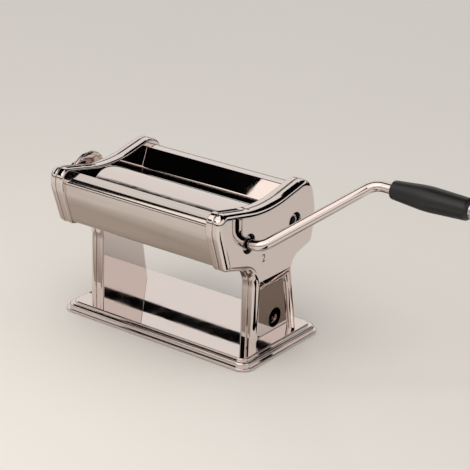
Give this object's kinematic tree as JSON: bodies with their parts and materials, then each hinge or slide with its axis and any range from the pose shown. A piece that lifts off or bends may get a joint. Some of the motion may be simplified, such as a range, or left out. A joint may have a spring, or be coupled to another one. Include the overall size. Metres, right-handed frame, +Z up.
{
  "type": "pasta roller machine",
  "caption": "Hand-cranked pasta machine: smooth sheet rollers with a knob-set gap and noodle cutters between two pressed side housings on a base plate, with a removable bent crank.",
  "frame": {"origin": "on the table, under the middle of the base plate", "axes": "+X along the rollers towards the crank side, -Y to the front where the noodles come out, +Z up"},
  "size_m": [0.3901, 0.1493, 0.1791],
  "materials": {
    "polished_chrome": "mirror-polished chrome plate on pressed steel",
    "brushed_stainless": "satin stainless sheet",
    "turned_aluminium": "turned and anodised aluminium",
    "gear_steel": "sintered steel",
    "zinc_steel": "zinc-plated steel",
    "nylon": "natural nylon",
    "comb_plastic": "food-safe moulded plastic",
    "rubber": "black rubber",
    "grip_plastic": "black moulded plastic"
  },
  "bodies": {
    "frame": {"base_feet": "rubber", "base_plate": "polished_chrome", "bridge_plate": "polished_chrome", "front_comb": "comb_plastic", "front_panel": "brushed_stainless", "front_scraper": "comb_plastic", "knob_bush": "polished_chrome", "left_adjuster_bush": "nylon", "left_drive_cutter_bush": "nylon", "left_drive_roller_bush": "nylon", "left_idle_cutter_bush": "nylon", "left_side_cover": "polished_chrome", "left_side_frame": "polished_chrome", "leg_nuts": "zinc_steel", "leg_screws": "zinc_steel", "rear_comb": "comb_plastic", "rear_panel": "polished_chrome", "rear_scraper": "comb_plastic", "right_adjuster_bush": "nylon", "right_drive_cutter_bush": "nylon", "right_drive_roller_bush": "nylon", "right_idle_cutter_bush": "nylon", "right_side_cover": "polished_chrome", "right_side_frame": "polished_chrome", "tie_rod_front_comb": "zinc_steel", "tie_rod_front_scraper": "zinc_steel", "tie_rod_rear": "zinc_steel", "tie_rod_rear_comb": "zinc_steel", "tie_rod_rear_scraper": "zinc_steel", "tie_rod_screws": "zinc_steel"},
    "drive_roller": {"drive_roller": "turned_aluminium", "drive_roller_gear": "gear_steel", "drive_roller_ring": "zinc_steel"},
    "roller_carriage": {"left_bearing_block": "nylon", "right_bearing_block": "nylon"},
    "adjustable_roller": {"adjustable_roller": "turned_aluminium", "adjustable_roller_gear": "gear_steel", "adjustable_roller_ring": "zinc_steel"},
    "adjuster": {"adjuster_shaft": "zinc_steel", "adjuster_knob": "polished_chrome", "knob_screw": "zinc_steel"},
    "drive_cutter": {"drive_cutter": "turned_aluminium", "drive_cutter_gear": "gear_steel", "drive_cutter_ring": "zinc_steel"},
    "idle_cutter": {"idle_cutter": "turned_aluminium", "idle_cutter_gear": "gear_steel", "idle_cutter_ring": "zinc_steel"},
    "crank": {"crank_rod": "polished_chrome", "grip_washer": "zinc_steel"},
    "grip": {"crank_grip": "grip_plastic"}
  },
  "joints": [
    {"name": "drive_roller_spin", "type": "hinge", "parent": "frame", "child": "drive_roller", "pos_m": [0, 0.023, 0.1175], "axis": [1, 0, 0], "continuous": true},
    {"name": "knob_turn", "type": "hinge", "parent": "frame", "child": "adjuster", "pos_m": [0, -0.027, 0.127], "axis": [-1, 0, 0], "range_deg": [0, 120]},
    {"name": "gap_slide", "type": "slide", "parent": "frame", "child": "roller_carriage", "axis": [0, 1, 0], "range_m": [0, 0.0027]},
    {"name": "adjustable_roller_spin", "type": "hinge", "parent": "roller_carriage", "child": "adjustable_roller", "pos_m": [0, -0.009, 0.1175], "axis": [1, 0, 0], "continuous": true},
    {"name": "drive_cutter_spin", "type": "hinge", "parent": "frame", "child": "drive_cutter", "pos_m": [0, -0.047, 0.1175], "axis": [1, 0, 0], "continuous": true},
    {"name": "idle_cutter_spin", "type": "hinge", "parent": "frame", "child": "idle_cutter", "pos_m": [0, -0.067, 0.1175], "axis": [1, 0, 0], "continuous": true},
    {"name": "crank_pull", "type": "slide", "parent": "drive_cutter", "child": "crank", "axis": [1, 0, 0], "range_m": [0, 0.03]},
    {"name": "grip_spin", "type": "hinge", "parent": "crank", "child": "grip", "pos_m": [0.17169, 0.03356, 0.16784], "axis": [1, 0, 0], "continuous": true}
  ],
  "couplings": [
    {"joint": "gap_slide", "follows": "knob_turn", "m_per_rad": 0.001289},
    {"joint": "adjustable_roller_spin", "follows": "drive_roller_spin", "ratio": -1},
    {"joint": "idle_cutter_spin", "follows": "drive_cutter_spin", "ratio": -1}
  ]
}
